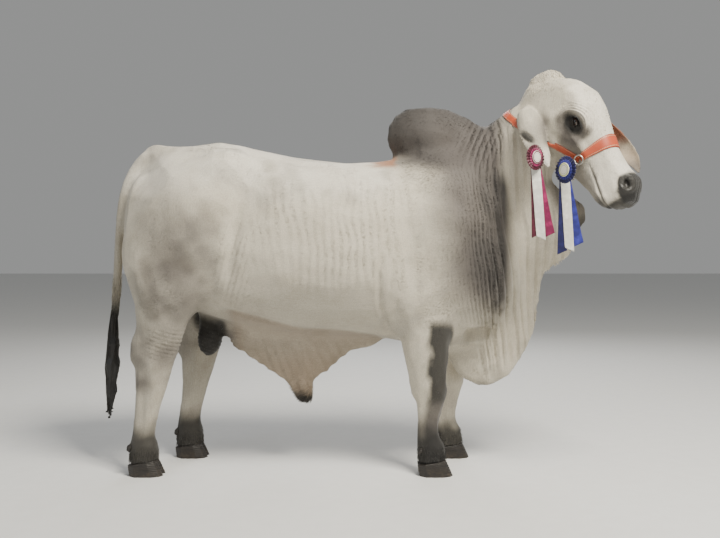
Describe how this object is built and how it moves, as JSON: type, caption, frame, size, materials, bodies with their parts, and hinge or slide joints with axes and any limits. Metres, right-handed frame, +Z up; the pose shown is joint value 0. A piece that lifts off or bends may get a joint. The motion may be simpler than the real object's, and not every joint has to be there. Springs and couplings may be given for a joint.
{
  "type": "brahman bull",
  "caption": "Life-size grey humped bull standing still with its head turned, long drooping ears, deep dewlap and sheath, in a leather show halter with chin chain and two prize rosettes.",
  "frame": {"origin": "on the ground under the middle of the model's box", "axes": "+Z up, +X the way the bull faces, +Y its left side"},
  "size_m": [2.4158, 0.7984, 1.7632],
  "materials": {
    "pale_hide": "short pale grey hair",
    "smoky_hide": "short smoky grey hair",
    "dark_hide": "short near-black hair",
    "eye": "wet dark brown",
    "horn": "worn dark hoof horn",
    "strap": "smooth orange-red leather",
    "steel": "plated steel",
    "burgundy_ribbon": "satin ribbon",
    "magenta_ribbon": "satin ribbon",
    "white_ribbon": "satin ribbon",
    "navy_ribbon": "satin ribbon",
    "blue_ribbon": "satin ribbon"
  },
  "bodies": {
    "root": {"head": "pale_hide", "lower_jaw": "pale_hide", "eye_right": "eye", "eye_left": "eye", "neck": "pale_hide", "dewlap_throat": "pale_hide", "dewlap_brisket": "pale_hide", "hump": "smoky_hide", "chest": "smoky_hide", "barrel": "pale_hide", "rump": "pale_hide", "sheath": "pale_hide", "foreleg_right_upper": "pale_hide", "foreleg_right_shank": "dark_hide", "hoof_foreleg_right_outer": "horn", "dewclaw_foreleg_right_outer": "horn", "hoof_foreleg_right_inner": "horn", "dewclaw_foreleg_right_inner": "horn", "foreleg_left_upper": "pale_hide", "foreleg_left_shank": "dark_hide", "hoof_foreleg_left_outer": "horn", "dewclaw_foreleg_left_outer": "horn", "hoof_foreleg_left_inner": "horn", "dewclaw_foreleg_left_inner": "horn", "hindleg_right_upper": "pale_hide", "hindleg_right_shank": "dark_hide", "hoof_hindleg_right_outer": "horn", "dewclaw_hindleg_right_outer": "horn", "hoof_hindleg_right_inner": "horn", "dewclaw_hindleg_right_inner": "horn", "hindleg_left_upper": "pale_hide", "hindleg_left_shank": "dark_hide", "hoof_hindleg_left_outer": "horn", "dewclaw_hindleg_left_outer": "horn", "hoof_hindleg_left_inner": "horn", "dewclaw_hindleg_left_inner": "horn", "scrotum": "dark_hide", "tail_dock": "pale_hide", "tail_shaft": "pale_hide", "tail_switch": "dark_hide", "ear_right": "pale_hide", "ear_left": "pale_hide", "halter_ring_right": "steel", "halter_ring_left": "steel", "halter_noseband": "strap", "halter_cheek_strap_right": "strap", "halter_cheek_strap_left": "strap", "halter_crown_strap": "strap", "chin_chain": "steel", "rosette_burgundy": "burgundy_ribbon", "ribbon_burgundy_burgundy": "burgundy_ribbon", "ribbon_burgundy_white": "white_ribbon", "ribbon_burgundy_magenta": "magenta_ribbon", "rosette_navy": "navy_ribbon", "ribbon_navy_navy": "navy_ribbon", "ribbon_navy_white": "white_ribbon", "ribbon_navy_blue": "blue_ribbon"}
  },
  "joints": []
}
